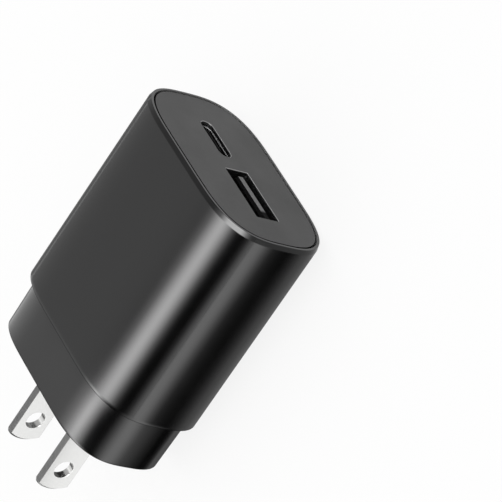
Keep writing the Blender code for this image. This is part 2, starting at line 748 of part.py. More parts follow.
def make_board_parts():
    """Capacitors, choke, fuse and heat sink that stand on the main board, and the chips."""
    bulk_height = room_above(plug_room_inset, part_half) - PART_GAP - part_foot
    for number in range(BULK_COUNT):
        y = primary_end - BULK_DIAMETER / 2 - number * (BULK_DIAMETER + PART_GAP)
        make_can(f"bulk_capacitor_{number + 1}", bulk_x, y, BULK_DIAMETER, bulk_height, CAN_SLEEVE)
    for number in range(OUTPUT_COUNT):
        x = OUTPUT_DIAMETER / 2 - part_half + number * (OUTPUT_DIAMETER + PART_GAP)
        y = board_front + PART_GAP + OUTPUT_DIAMETER / 2
        make_can(f"output_capacitor_{number + 1}", x, y, OUTPUT_DIAMETER, OUTPUT_HEIGHT, ALUMINIUM)

    radius = CHOKE_DIAMETER / 2
    waist = CHOKE_WAIST / 2
    drum = [
        (0, CHOKE_HEIGHT),
        (radius, CHOKE_HEIGHT),
        (radius, CHOKE_HEIGHT - CHOKE_FLANGE),
        (waist, CHOKE_HEIGHT - CHOKE_FLANGE),
        (waist, CHOKE_FLANGE),
        (radius, CHOKE_FLANGE),
        (radius, 0),
        (0, 0),
    ]
    choke_x = radius - part_half
    finish(turned("input_choke", drum, (choke_x, primary_end - radius, part_foot)), FERRITE)

    fuse = block("fuse", (choke_x + radius + PART_GAP, primary_end - FUSE_DEPTH, part_foot),
                 (bulk_side - PART_GAP, primary_end, part_foot + FUSE_HEIGHT))
    soften(fuse, CAN_ROUND, 2)
    finish(fuse, BLACK_PLASTIC)

    disc_radius = SAFETY_CAP_DIAMETER / 2
    disc_front = board_front + PART_GAP
    disc_back = disc_front + SAFETY_CAP_THICKNESS
    disc_outline = circle((part_half - disc_radius, part_foot + disc_radius), SAFETY_CAP_DIAMETER)
    disc = prism("safety_capacitor", [disc_outline], "Y", disc_front, disc_back)
    for plane in (disc_front, disc_back):
        round_rim(disc, "Y", plane, CAN_ROUND, 2)
    finish(disc, BLUE_EPOXY)

    sink_high_x = bulk_side - SINK_GAP
    sink_middle = ((transformer_front + transformer_back) / 2, (part_foot + core_top) / 2)
    sink_outline = rounded_rectangle(sink_middle, transformer_back - transformer_front,
                                     core_top - part_foot, SINK_CORNER)
    sink = prism("heat_sink", [sink_outline], "X", sink_high_x - SINK_THICKNESS, sink_high_x)
    finish(sink, ALUMINIUM)

    chip_top = board_bottom - SEAT_GAP
    for name, (width, length, x, distance) in UNDERSIDE_CHIPS.items():
        y = board_front + distance
        chip = block(name, (x - width / 2, y - length / 2, chip_top - CHIP_HEIGHT),
                     (x + width / 2, y + length / 2, chip_top))
        soften(chip, CHIP_ROUND)
        finish(chip, BLACK_PLASTIC)
    half = CONTROLLER_SIZE / 2
    controller_front = port_board_back + SEAT_GAP
    controller_top = board_bottom + PORT_BOARD_HEIGHT - CONTROLLER_DROP
    controller = block("charge_controller", (-half, controller_front, controller_top - CONTROLLER_SIZE),
                       (half, controller_front + CONTROLLER_THICKNESS, controller_top))
    soften(controller, CHIP_ROUND)
    finish(controller, BLACK_PLASTIC)


def make_transformer():
    """Two E-shaped core halves round a bobbin, with the taped winding between its flanges."""
    half = core_width / 2
    post = core_post / 2
    middle_y = (transformer_front + transformer_back) / 2
    leaf = post + SEAT_GAP + BOBBIN_WALL
    overhang = SEAT_GAP + BOBBIN_WALL + WINDING_OVERHANG
    core_half_depth = (transformer_back - transformer_front) / 2 - overhang
    split = (part_foot + core_top) / 2
    for label, back_z, leg_z, way in (
        ("lower", part_foot, split - SEAT_GAP / 2, 1),
        ("upper", core_top, split + SEAT_GAP / 2, -1),
    ):
        web = back_z + way * CORE_BACK
        right = [
            (half, back_z),
            (half, leg_z),
            (half - CORE_LEG, leg_z),
            (half - CORE_LEG, web),
            (post, web),
            (post, leg_z),
        ]
        left = [(-x, z) for x, z in reversed(right)]
        outline = [(core_x + x, z) for x, z in right + left]
        core = prism("transformer_core_" + label, [outline], "Y", middle_y - core_half_depth,
                     middle_y + core_half_depth)
        finish(core, FERRITE)

    low = part_foot + CORE_BACK + SEAT_GAP
    high = core_top - CORE_BACK - SEAT_GAP
    flange_x = half - CORE_LEG - SEAT_GAP
    flange_y = core_half_depth + overhang
    tube_y = core_half_depth + SEAT_GAP + BOBBIN_WALL
    bobbin = block("transformer_bobbin", (core_x - leaf, middle_y - tube_y, low),
                   (core_x + leaf, middle_y + tube_y, high))
    for label, foot in (("lower", low), ("upper", high - BOBBIN_WALL)):
        flange = block(label + "_flange", (core_x - flange_x, middle_y - flange_y, foot),
                       (core_x + flange_x, middle_y + flange_y, foot + BOBBIN_WALL), cutters)
        combine(bobbin, flange, "UNION")
    hole_x = post + SEAT_GAP
    hole_y = core_half_depth + SEAT_GAP
    hole = block("post_hole", (core_x - hole_x, middle_y - hole_y, low - PAST),
                 (core_x + hole_x, middle_y + hole_y, high + PAST), cutters)
    combine(bobbin, hole, "DIFFERENCE")
    finish(bobbin, WHITE_PLASTIC)

    outer = rounded_rectangle((core_x, middle_y), 2 * (flange_x - SEAT_GAP),
                              2 * (flange_y - SEAT_GAP), BOBBIN_WALL)
    inner = rounded_rectangle((core_x, middle_y), 2 * (leaf + SEAT_GAP),
                              2 * (tube_y + SEAT_GAP), SEAT_GAP)
    winding = prism("transformer_winding", [outer, inner], "Z", low + BOBBIN_WALL + SEAT_GAP,
                    high - BOBBIN_WALL - SEAT_GAP)
    finish(winding, YELLOW_TAPE)


make_sleeve()
make_plug_end()
make_port_plate()
make_prongs()
make_carrier()
make_blade_springs()
make_boards()
make_board_parts()
make_transformer()
make_wide_port()
make_slim_port()
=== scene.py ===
# %% [markdown]
# # A plug-in charger, dressed for its portrait
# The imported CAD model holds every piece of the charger, inside and out, but its solids are faceted
# and their finishes are plain. This lesson loads that model, lays smooth skins over the pieces that
# the eye meets first, gives every piece its own finish, and lights the lot like a small glossy
# product on a white table.

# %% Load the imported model
import math

import bmesh
import bpy
from mathutils import Matrix, Vector


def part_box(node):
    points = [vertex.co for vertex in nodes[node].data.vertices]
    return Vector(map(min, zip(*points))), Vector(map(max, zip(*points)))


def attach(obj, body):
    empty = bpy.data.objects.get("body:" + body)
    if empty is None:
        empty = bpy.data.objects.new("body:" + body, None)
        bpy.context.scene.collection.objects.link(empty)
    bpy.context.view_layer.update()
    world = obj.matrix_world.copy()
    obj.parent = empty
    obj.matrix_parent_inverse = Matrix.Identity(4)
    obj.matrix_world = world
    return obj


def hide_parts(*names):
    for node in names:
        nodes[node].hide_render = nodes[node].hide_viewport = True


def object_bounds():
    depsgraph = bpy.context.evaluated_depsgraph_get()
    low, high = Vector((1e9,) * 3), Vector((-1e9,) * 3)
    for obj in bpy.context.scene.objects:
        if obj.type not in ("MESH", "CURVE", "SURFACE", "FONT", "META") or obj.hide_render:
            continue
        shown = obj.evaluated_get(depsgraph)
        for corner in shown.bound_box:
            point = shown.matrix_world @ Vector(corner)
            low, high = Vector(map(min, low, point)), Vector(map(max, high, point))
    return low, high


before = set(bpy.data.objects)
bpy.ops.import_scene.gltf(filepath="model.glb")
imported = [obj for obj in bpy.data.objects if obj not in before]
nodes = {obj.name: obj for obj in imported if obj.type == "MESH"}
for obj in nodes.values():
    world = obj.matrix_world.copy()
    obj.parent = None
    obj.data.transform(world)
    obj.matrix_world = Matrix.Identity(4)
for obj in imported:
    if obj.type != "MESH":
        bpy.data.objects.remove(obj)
cad_low, cad_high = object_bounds()
MM = 0.001
print(len(nodes), "pieces, size in mm:", [round(side / MM, 1) for side in cad_high - cad_low])

# %% [markdown]
# ## The camera
# The charger is seen from above its left shoulder, from more than half a metre away and through a
# long lens, so edges that are parallel on the body stay almost parallel in the picture. A camera can
# be aimed with angles, but here it is tilted as well, so it is simpler to write down three directions
# (where it looks, what is up in the picture, and the right-hand side that follows) and put them
# side by side in a matrix.

# %% Camera
eye = Vector((-483.05, -338.99, 459.63)) * MM
looking = Vector((0.651387, 0.409731, -0.638605))
picture_up = Vector((0.639040, -0.750011, 0.170621))
picture_right = looking.cross(picture_up)
film_width = 36
focal_length = 315.22

lens = bpy.data.cameras.new("portrait_lens")
lens.sensor_width = film_width
lens.lens = focal_length
camera = bpy.data.objects.new("portrait_camera", lens)
turned = Matrix((picture_right, picture_up, -looking)).transposed()
camera.matrix_world = Matrix.Translation(eye) @ turned.to_4x4()
bpy.context.scene.collection.objects.link(camera)
bpy.context.scene.camera = camera
print("camera stands", round(eye.length, 3), "m from the wall face")

# %% [markdown]
# ## The outline that the outer pieces share
# Seen from the end, the body is an oval with two flat sides and ends that are squarer than half
# circles. A superellipse draws such an end with a single number, its power: 2 is a circle, and the
# higher it is, the squarer the end. The points could be spaced evenly along the curve. Here they are
# spaced by the way the surface faces instead, in equal turns, so a reflection glides over the end
# without a kink.

# %% Rings round the body
sleeve_low, sleeve_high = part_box("body_sleeve")
body_width = sleeve_high.x - sleeve_low.x
body_thickness = sleeve_high.z - sleeve_low.z
flat_width = 10.5 * MM
end_power = 3
end_turns = 72
flat_runs = 6


def end_point(facing, inset):
    """Point in X and Z on the right-hand end whose surface is turned by facing, from 0 at the top."""
    reach = (body_width - flat_width) / 2 - inset
    rise = body_thickness / 2 - inset
    across = abs(math.sin(facing) * reach) ** (1 / (end_power - 1))
    up = abs(math.cos(facing) * rise) ** (1 / (end_power - 1))
    size = (across ** end_power + up ** end_power) ** (1 / end_power)
    x = flat_width / 2 + reach * across / size
    z = math.copysign(rise * up / size, math.cos(facing))
    return Vector((x, z))


def ring(inset):
    """Points in X and Z once round the body, drawn in from its outer skin by inset."""
    rise = body_thickness / 2 - inset
    points = []
    for side in (1, -1):
        for step in range(end_turns + 1):
            points.append(side * end_point(math.pi * step / end_turns, inset))
        for step in range(1, flat_runs):
            along = flat_width * (0.5 - step / flat_runs)
            points.append(Vector((side * along, -side * rise)))
    return points


print("body", round(body_width / MM, 2), "by", round(body_thickness / MM, 2), "mm,",
      len(ring(0)), "points a ring")

# %% [markdown]
# ## Tools for the skins
# A few small helpers make most of the shapes. One rounds the corners of a drawn profile, because no
# moulded or stamped edge is perfectly sharp, and a rounded edge is what catches the light. One joins
# a row of rings into a skin, and one cuts holes into it. The last lets the result ride on the charger
# and stand for its CAD node. It also says from which angle on an edge is shaded as a crisp one: a low
# angle keeps a flat face flat right up to its broken edge.

# %% Helpers for profiles, skins and pieces
corner_steps = 6
crisp = math.radians(32)
flat_crisp = math.radians(10)


def filleted(corners, steps=corner_steps):
    """Closed profile with rounded corners; each corner is (across, along, radius)."""
    points = []
    for index, (across, along, radius) in enumerate(corners):
        here = Vector((across, along))
        if radius == 0:
            points.append(here)
            continue
        before = (Vector(corners[index - 1][:2]) - here).normalized()
        after = (Vector(corners[(index + 1) % len(corners)][:2]) - here).normalized()
        opening = before.angle(after)
        middle = here + (before + after).normalized() * radius / math.sin(opening / 2)
        cut = radius / math.tan(opening / 2)
        first = here + before * cut - middle
        last = here + after * cut - middle
        for step in range(steps + 1):
            points.append(middle + first.slerp(last, step / steps) * radius)
    return points


def walls(shape, rows):
    """Quads between neighbouring rows of corners, where each row is a closed loop."""
    for one, other in zip(rows, rows[1:]):
        for index in range(len(one)):
            after = (index + 1) % len(one)
            shape.faces.new((one[index], one[after], other[after], other[index]))


def skin(shape, rings, closed):
    """Walls between rings of points; an open row of rings gets a flat cap at each end."""
    rows = [[shape.verts.new(point) for point in points] for points in rings]
    if closed:
        rows.append(rows[0])
    else:
        shape.faces.new(rows[0])
        shape.faces.new(rows[-1])
    walls(shape, rows)


def new_object(name, shape):
    """Object made of a bmesh, with its faces turned outwards."""
    bmesh.ops.recalc_face_normals(shape, faces=shape.faces)
    mesh = bpy.data.meshes.new(name)
    shape.to_mesh(mesh)
    shape.free()
    piece = bpy.data.objects.new(name, mesh)
    bpy.context.scene.collection.objects.link(piece)
    return piece


def settle(piece):
    """Turn what the modifiers make into the piece's own mesh, and drop the modifiers."""
    bpy.context.view_layer.update()
    shown = piece.evaluated_get(bpy.context.evaluated_depsgraph_get())
    piece.data = bpy.data.meshes.new_from_object(shown)
    piece.modifiers.clear()


def cut_away(piece, cutters):
    """Cut other objects out of a piece and delete them."""
    for cutter in cutters:
        step = piece.modifiers.new(cutter.name, "BOOLEAN")
        step.operation = "DIFFERENCE"
        step.solver = "EXACT"
        step.object = cutter
    settle(piece)
    for cutter in cutters:
        bpy.data.objects.remove(cutter)


def stand_for(piece, node, sharp_from=crisp):
    """Smooth shading with crisp edges, a place on the frame, and the CAD node that is replaced."""
    piece.data.shade_smooth()
    piece.data.set_sharp_from_angle(angle=sharp_from)
    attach(piece, "charger")
    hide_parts(node)
    print(piece.name, "stands for", node, "with", len(piece.data.polygons), "faces")


print("shape helpers ready, with", corner_steps, "steps to a rounded corner")

# %% [markdown]
# ## Sleeve
# The sleeve is one long moulding: a plain tube with a steep bevel at the rim, a seat inside the rim
# for the port plate, and a thin lip over the groove where the plug end begins. It could be cut out of
# a block, but a moulding like this is one profile carried round the body, so the profile is drawn
# once, as distance in from the skin against distance from the wall, and swept round the rings. Smooth
# shading blends the light over neighbouring faces, so a long face would seem bent by the rounded edge
# at its end. An extra ring near each end keeps the bend at the edge.

# %% Sleeve
rim_front = sleeve_low.y
sleeve_mouth = sleeve_high.y
plate_low, plate_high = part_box("port_plate")
rim_width = 0.65 * MM
bevel_inset = 0.21 * MM
bevel_length = 0.85 * MM
sleeve_wall = 1.8 * MM
mouth_lip = 0.4 * MM
groove_depth = 0.9 * MM
seat_gap = 0.1 * MM
fine_edge = 0.05 * MM
mouth_round = 0.12 * MM
side_share = 0.02
bevel_share = 0.15


def at_depth(points, y):
    """Lift points drawn in X and Z to a depth y."""
    return [Vector((point.x, y, point.y)) for point in points]


def carried_round(profile):
    """Rings of a profile of insets and depths, carried round the body."""
    return [at_depth(ring(inset), y) for inset, y in profile]


def straight_run(start, end, share):
    """A run between two corners, with a point near each so that the face between stays truly flat."""
    first, last = Vector(start[:2]), Vector(end[:2])
    after_start = first.lerp(last, share)
    before_end = last.lerp(first, share)
    return [start, (*after_start, 0), (*before_end, 0), end]


mouth_corner = (0, sleeve_mouth, mouth_round)
bevel_top = (0, rim_front + bevel_length, fine_edge)
bevel_foot = (bevel_inset, rim_front, fine_edge)
sleeve_profile = filleted([
    *straight_run(mouth_corner, bevel_top, side_share),
    *straight_run(bevel_top, bevel_foot, bevel_share)[1:],
    (rim_width, rim_front, fine_edge),
    (rim_width, plate_high.y + seat_gap, 0),
    (sleeve_wall, plate_high.y + seat_gap, 0),
    (sleeve_wall, sleeve_mouth - groove_depth, 0),
    (mouth_lip, sleeve_mouth - groove_depth, 0),
    (mouth_lip, sleeve_mouth, fine_edge),
])
shape = bmesh.new()
skin(shape, carried_round(sleeve_profile), closed=True)
sleeve = new_object("sleeve_skin", shape)
stand_for(sleeve, "body_sleeve")

# %% [markdown]
# ## Plug end
# The plug end is a cup a little smaller than the sleeve. Its plain face lies against the wall and its
# open end goes into the sleeve. The rings give its wall; each end of the row is closed with a flat
# cap, one for the face and one for the bottom of the hollow behind it. Then two slots are cut
# through the face for the roots of the blades.

# %% Plug end
plug_low, plug_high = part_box("plug_cap")
plug_inset = 1.3 * MM
plug_draft = 0.09 * MM
plug_round = 0.15 * MM
plug_face = 2 * MM
spigot_inset = 1.95 * MM
spigot_wall = 0.95 * MM
wall_share = 0.05
blade_pitch = 12.7 * MM
blade_width = 6.1 * MM
blade_thickness = 1.5 * MM


def box_shape(low, high):
    """A plain box between two corners, as a bmesh."""
    shape = bmesh.new()
    bmesh.ops.create_cube(shape, size=1)
    bmesh.ops.scale(shape, vec=high - low, verts=shape.verts)
    bmesh.ops.translate(shape, vec=(low + high) / 2, verts=shape.verts)
    return shape


hollow = spigot_inset + spigot_wall
plug_step = sleeve_mouth - groove_depth + seat_gap
wall_foot = (plug_inset - plug_draft, plug_step, 0)
wall_end = (plug_inset + plug_draft, plug_high.y, plug_round)
# The last corner only guides the rounding of the edge before it, and is left off the skin.
plug_profile = filleted([
    (hollow, plug_high.y - plug_face, 0),
    (hollow, plug_low.y, 0),
    (spigot_inset, plug_low.y, 0),
    (spigot_inset, plug_step, 0),
    *straight_run(wall_foot, wall_end, wall_share),
    (hollow, plug_high.y, 0),
])
shape = bmesh.new()
skin(shape, carried_round(plug_profile[:-1]), closed=False)
plug = new_object("plug_end_skin", shape)
slots = []
for side in (-1, 1):
    half = Vector((blade_thickness / 2, 2 * plug_face, blade_width / 2))
    middle = Vector((side * blade_pitch / 2, plug_high.y, 0))
    slots.append(new_object("blade_slot", box_shape(middle - half, middle + half)))
cut_away(plug, slots)
stand_for(plug, "plug_cap")

# %% [markdown]
# ## Port plate
# The plate that carries the two ports is let into the rim with a hair of room all round, which reads as
# a fine dark line, drawn darker still by painted shade on the plate's edge. It is flat, so a filled
# curve draws it, and the curve's bevel breaks its edge.
# The mouths of the ports could be holes in that curve. They are cut afterwards instead, with cutters
# that flare at the front, so that each mouth gets a small chamfer, which leads the plug in. Behind, the
# mouths are stepped wider to take the fronts of the metal shells.

# %% Port plate
plate_gap = 0.3 * MM
plate_edge = 0.08 * MM
mouth_chamfer = 0.08 * MM
mouth_drop = 0.12 * MM
plate_lip = 0.3 * MM
wide_x = -6.8 * MM
slim_x = 7.9 * MM
wide_mouth = (12.7 * MM, 4.8 * MM, 0.2 * MM)
slim_mouth = (9.5 * MM, 2.56 * MM, 1.28 * MM)
wide_seat = (13.5 * MM, 6.12 * MM, 0.9 * MM)
slim_seat = (9.5 * MM, 3.56 * MM, 1.78 * MM)
mouth_steps = 10
full_round = 0.999
sheet_steps = 3
hair = 0.001 * MM


def rounded_box(x, size, drop=0):
    """Outline of an upright rectangle with round corners, centred at x, or a little below."""
    width, height, radius = size
    left, right = x - width / 2, x + width / 2
    top, bottom = height / 2 - drop, -height / 2 - drop
    radius = min(radius, full_round * height / 2)
    spots = [(right, top), (left, top), (left, bottom), (right, bottom)]
    return filleted([(*spot, radius) for spot in spots], mouth_steps)


def sheet_piece(name, outline, front, back, edge):
    """Flat sheet across Y from its outline, with rounded edges."""
    drawing = bpy.data.curves.new(name, "CURVE")
    drawing.dimensions = "2D"
    drawing.fill_mode = "BOTH"
    drawing.extrude = (back - front) / 2 - edge
    drawing.bevel_depth = edge
    drawing.bevel_resolution = sheet_steps
    drawing.offset = -edge
    spline = drawing.splines.new("POLY")
    spline.points.add(len(outline) - 1)
    for point, spot in zip(spline.points, outline):
        point.co = (spot.x, spot.y, 0, 1)
    spline.use_cyclic_u = True
    traced = bpy.data.objects.new(name, drawing)
    bpy.context.scene.collection.objects.link(traced)
    bpy.context.view_layer.update()
    shape = bmesh.new()
    mesh = bpy.data.meshes.new_from_object(traced.evaluated_get(bpy.context.evaluated_depsgraph_get()))
    shape.from_mesh(mesh)
    bpy.data.objects.remove(traced)
    bmesh.ops.remove_doubles(shape, verts=shape.verts, dist=hair)
    upright = Matrix.Translation((0, (front + back) / 2, 0)) @ Matrix.Rotation(math.pi / 2, 4, "X")
    bmesh.ops.transform(shape, matrix=upright, verts=shape.verts)
    return new_object(name, shape)


def flared_cutter(x, size):
    """Cutter for a port's mouth: straight through the plate, and flared at the front."""
    width, height, radius = size
    behind = (0, plate_high.y + plate_lip)
    throat = (0, plate_low.y + mouth_chamfer)
    in_front = (mouth_chamfer + plate_lip, plate_low.y - plate_lip)
    rings = []
    for grow, y in (behind, throat, in_front):
        outline = rounded_box(x, (width + 2 * grow, height + 2 * grow, radius + grow), mouth_drop)
        rings.append(at_depth(outline, y))
    shape = bmesh.new()
    skin(shape, rings, closed=False)
    return new_object("mouth_cutter", shape)


plate_outline = ring(rim_width + plate_gap)
plate = sheet_piece("port_plate_skin", plate_outline, plate_low.y, plate_high.y, plate_edge)
openings = []
for x, mouth, seat in ((wide_x, wide_mouth, wide_seat), (slim_x, slim_mouth, slim_seat)):
    openings.append(flared_cutter(x, mouth))
    openings.append(sheet_piece("shell_seat", rounded_box(x, seat), plate_low.y + plate_lip,
                                plate_high.y + plate_lip, 0))
cut_away(plate, openings)
stand_for(plate, "port_plate", flat_crisp)

# %% [markdown]
# ## Blades
# The two blades are stamped from flat strip. A stamped blade has a crisp face, edges just broken by
# the die, a round hole, and a tip that is arched and chamfered so that it finds its slot. It could be
# a bevelled block, but the chamfer belongs to the tip alone, so the blade is laid up in thin layers:
# each layer is the outline drawn in a little at the sides, and more at the tip, the nearer it lies to
# a face.

# %% Blades
blade_reach = 16.3 * MM
blade_foot = 0.1 * MM
tip_bulge = 0.8 * MM
tip_chamfer = 0.45 * MM
edge_round = 0.04 * MM
hole_middle = 11.6 * MM
hole_width = 3.6 * MM
tip_steps = 16
hole_steps = 48


def edge_trim(depth):
    """How far a rounded edge is drawn in at some depth below the face."""
    short = max(edge_round - depth, 0)
    return edge_round - math.sqrt(edge_round ** 2 - short ** 2)


def blade_outline(depth):
    """Outline of a blade in Y and Z at some depth below its face, with the tip's chamfer."""
    full = blade_width / 2
    half = full - edge_trim(depth)
    reach = blade_reach - max(tip_chamfer - depth, 0)
    radius = (full ** 2 + tip_bulge ** 2) / (2 * tip_bulge)
    points = [Vector((blade_foot, -half)), Vector((blade_foot, half))]
    for step in range(tip_steps + 1):
        z = half * (1 - 2 * step / tip_steps)
        sag = radius - math.sqrt(radius ** 2 - z ** 2)
        points.append(Vector((reach - sag, z)))
    return points


def hole_outline(depth):
    """Outline of the blade's hole in Y and Z at some depth below its face."""
    radius = hole_width / 2 + edge_trim(depth)
    turns = [2 * math.pi * step / hole_steps for step in range(hole_steps)]
    return [Vector((hole_middle + radius * math.cos(turn), radius * math.sin(turn))) for turn in turns]


layer_depths = [0, edge_round / 4, edge_round / 2, edge_round, tip_chamfer / 2, tip_chamfer]
layers = [(depth - blade_thickness / 2, depth) for depth in layer_depths]
layers += [(-x, depth) for x, depth in reversed(layers)]


def blade_shape(middle):
    """One blade as a bmesh: walls between the layers, and two faces with the hole left open."""
    shape = bmesh.new()
    for outline_at in (blade_outline, hole_outline):
        rows = []
        for x, depth in layers:
            rows.append([shape.verts.new((middle + x, spot.x, spot.y)) for spot in outline_at(depth)])
        walls(shape, rows)
    rims = [edge for edge in shape.edges if edge.is_boundary]
    for x in (layers[0][0], layers[-1][0]):
        face_rims = [edge for edge in rims if abs(edge.verts[0].co.x - middle - x) < hair]
        bmesh.ops.triangle_fill(shape, edges=face_rims, use_beauty=True)
    return shape


blades = {}
for side, label in ((-1, "left"), (1, "right")):
    blade = new_object("blade_" + label, blade_shape(side * blade_pitch / 2))
    stand_for(blade, "prong_" + label, flat_crisp)
    blades[label] = blade

# %% [markdown]
# ## Finishes
# Every finish starts from one shader and adds what the real surface has: a moulded grain a tenth of
# a millimetre across, a shine that is never quite even, the drawing lines of rolled metal. All of it
# comes from noise in the object's own space, measured in metres, so it stays with the piece from any
# side.

# %% Helpers for finishes
noise_low = 0.3
noise_high = 0.7
drift_grain = 8 * MM


def new_finish(name):
    """Empty material: its node tree, its shader, and the place of a point on the object."""
    material = bpy.data.materials.new(name)
    material.use_nodes = True
    tree = material.node_tree
    shader = tree.nodes["Principled BSDF"]
    place = tree.nodes.new("ShaderNodeTexCoord").outputs["Object"]
    return material, tree, shader, place


def noise(tree, place, grain, detail=2, stretch=None):
    """Noise whose grains have a size in metres, drawn out along an axis if stretch is given."""
    if stretch:
        mapping = tree.nodes.new("ShaderNodeMapping")
        mapping.inputs["Scale"].default_value = stretch
        tree.links.new(place, mapping.inputs["Vector"])
        place = mapping.outputs["Vector"]
    node = tree.nodes.new("ShaderNodeTexNoise")
    node.inputs["Scale"].default_value = 1 / grain
    node.inputs["Detail"].default_value = detail
    tree.links.new(place, node.inputs["Vector"])
    return node.outputs["Fac"]


def spread(tree, value, low, high):
    """Stretch the middle of a noise to run from low to high."""
    node = tree.nodes.new("ShaderNodeMapRange")
    node.inputs["From Min"].default_value = noise_low
    node.inputs["From Max"].default_value = noise_high
    node.inputs["To Min"].default_value = low
    node.inputs["To Max"].default_value = high
    tree.links.new(value, node.inputs["Value"])
    return node.outputs["Result"]


def reckon(tree, operation, first, second):
    """One sum in a node tree; the second value may be a plain number."""
    node = tree.nodes.new("ShaderNodeMath")
    node.operation = operation
    tree.links.new(first, node.inputs[0])
    if isinstance(second, (int, float)):
        node.inputs[1].default_value = second
    else:
        tree.links.new(second, node.inputs[1])
    return node.outputs["Value"]


def eased(tree, value, low, high, way="SMOOTHSTEP"):
    """From 0 at low to 1 at high, with soft ends or in a straight line."""
    node = tree.nodes.new("ShaderNodeMapRange")
    node.interpolation_type = way
    node.inputs["From Min"].default_value = low
    node.inputs["From Max"].default_value = high
    tree.links.new(value, node.inputs["Value"])
    return node.outputs["Result"]


def split(tree, vector):
    """The X, Y and Z parts of a vector, by name."""
    node = tree.nodes.new("ShaderNodeSeparateXYZ")
    tree.links.new(vector, node.inputs["Vector"])
    return node.outputs


def tint(tree, value, dark, light):
    """Colour between two shades, by a value from 0 to 1."""
    node = tree.nodes.new("ShaderNodeMix")
    node.data_type = "RGBA"
    node.inputs["A"].default_value = (*dark, 1)
    node.inputs["B"].default_value = (*light, 1)
    tree.links.new(value, node.inputs["Factor"])
    return node.outputs["Result"]


def relief(tree, height, depth, shader):
    """Bump on a shader from a height of 0 to 1, as deep as the given length."""
    node = tree.nodes.new("ShaderNodeBump")
    node.inputs["Strength"].default_value = 1
    node.inputs["Distance"].default_value = depth
    tree.links.new(height, node.inputs["Height"])
    tree.links.new(node.outputs["Normal"], shader.inputs["Normal"])


def moulded(name, dark, light, shine, grain, depth):
    """Moulded plastic: a fine grain, and a shine that drifts a little over the surface."""
    material, tree, shader, place = new_finish(name)
    fine = noise(tree, place, grain)
    drift = noise(tree, place, drift_grain, detail=3)
    tree.links.new(tint(tree, spread(tree, fine, 0, 1), dark, light), shader.inputs["Base Color"])
    tree.links.new(spread(tree, drift, *shine), shader.inputs["Roughness"])
    relief(tree, fine, depth, shader)
    return material


def drawn_metal(name, dark, light, shine, stretch, grain, depth):
    """Rolled or drawn metal: fine lines along one way, with dull and bright streaks."""
    material, tree, shader, place = new_finish(name)
    lines = noise(tree, place, grain, detail=4, stretch=stretch)
    shader.inputs["Metallic"].default_value = 1
    tree.links.new(tint(tree, spread(tree, lines, 0, 1), dark, light), shader.inputs["Base Color"])
    tree.links.new(spread(tree, lines, *shine), shader.inputs["Roughness"])
    relief(tree, lines, depth, shader)
    return material


def dress(piece, *materials):
    """Give an object these materials and no others."""
    piece.data.materials.clear()
    for material in materials:
        piece.data.materials.append(material)


print("finish helpers ready")

# %% [markdown]
# ## Black mouldings
# Sleeve and plug end are glossy black with hardly any grain, so they live on what they reflect. The
# port plate is eroded in the mould to a fine matte, which keeps fingerprints down and makes it look
# lighter than the sides, although the plastic is the same.

# %% Black mouldings
sleeve_black = moulded("sleeve_black", (0.0012, 0.0012, 0.0013), (0.0024, 0.0024, 0.0025), (0.13, 0.17),
                       0.12 * MM, 0.0003 * MM)
plug_black = moulded("plug_black", (0.0012, 0.0012, 0.0013), (0.0024, 0.0024, 0.0025), (0.15, 0.19),
                     0.12 * MM, 0.0003 * MM)
plate_black = moulded("plate_black", (0.005, 0.005, 0.0051), (0.009, 0.009, 0.0092), (0.42, 0.5),
                      0.07 * MM, 0.003 * MM)
# Painted highlight: the chamfers of the ports' mouths are painted a pale grey.
mouth_highlight = moulded("mouth_highlight", (0.27, 0.27, 0.272), (0.33, 0.33, 0.333), (0.35, 0.45),
                     0.07 * MM, 0.002 * MM)
# Painted light: the rim's inner wall is painted grey, although it is the same black plastic.
rim_light_grey = moulded("rim_light_grey", (0.06, 0.06, 0.061), (0.09, 0.09, 0.091), (0.5, 0.6),
                      0.07 * MM, 0.001 * MM)
# Painted shade: near black that reflects almost nothing, for the fine dark lines where mouldings meet.
painted_shade_black = moulded("painted_shade_black", (0.001, 0.001, 0.0011), (0.002, 0.002, 0.0021), (0.6, 0.7),
                       0.07 * MM, 0.001 * MM)
# Hardly any reflection, so the painted shade stays dark; the tongue uses the same low shine.
dull_shine = 0.02
painted_shade_shader = painted_shade_black.node_tree.nodes["Principled BSDF"]
painted_shade_shader.inputs["Specular IOR Level"].default_value = dull_shine
print("dull blacks:", rim_light_grey.name, painted_shade_black.name)

# %% [markdown]
# ## Where the blacks meet
# Most of each moulding has one finish. Where two of them meet, a fine line is painted in light and
# shade: painted shade in black, which reflects almost nothing, at the step, at the plug's face and
# round the plate, and painted light in grey on the inner wall of the rim. The chamfers of the mouths
# are painted paler, as a painted highlight. The faces could be picked by hand. In a script it is
# simpler to ask each face which way it is turned and where it lies.

# %% Where the blacks meet
inner_wall = -0.5
rounded_from = 0.1
rounded_to = 0.99
front_face = -0.9
chamfer_end = -0.5


def outward(face):
    """How far a face is turned away from the body's axis: 1 is straight out, -1 straight in."""
    return face.normal.xz.dot(face.center.xz.normalized())


def chamfered(face):
    """Whether a face leans to the front like a chamfer."""
    return front_face < face.normal.y < chamfer_end


def on_plate_edge(spot):
    """Whether a spot on the port plate lies outside the mouths, towards the plate's edge."""
    for x, (width, height, radius) in ((wide_x, wide_mouth), (slim_x, slim_mouth)):
        if abs(spot.x - x) < width / 2 + plate_lip and abs(spot.z) < height / 2 + plate_lip:
            return False
    return True


# On the sleeve, the rim's inner wall gets the painted light in grey, and the rounding of the mouth the
# painted shade.
dress(sleeve, sleeve_black, rim_light_grey, painted_shade_black)
for face in sleeve.data.polygons:
    at_mouth = face.normal.y > rounded_from and face.center.y > sleeve_mouth - mouth_round
    in_rim = outward(face) < inner_wall and face.center.y < plate_high.y
    face.material_index = 2 if at_mouth else int(in_rim)
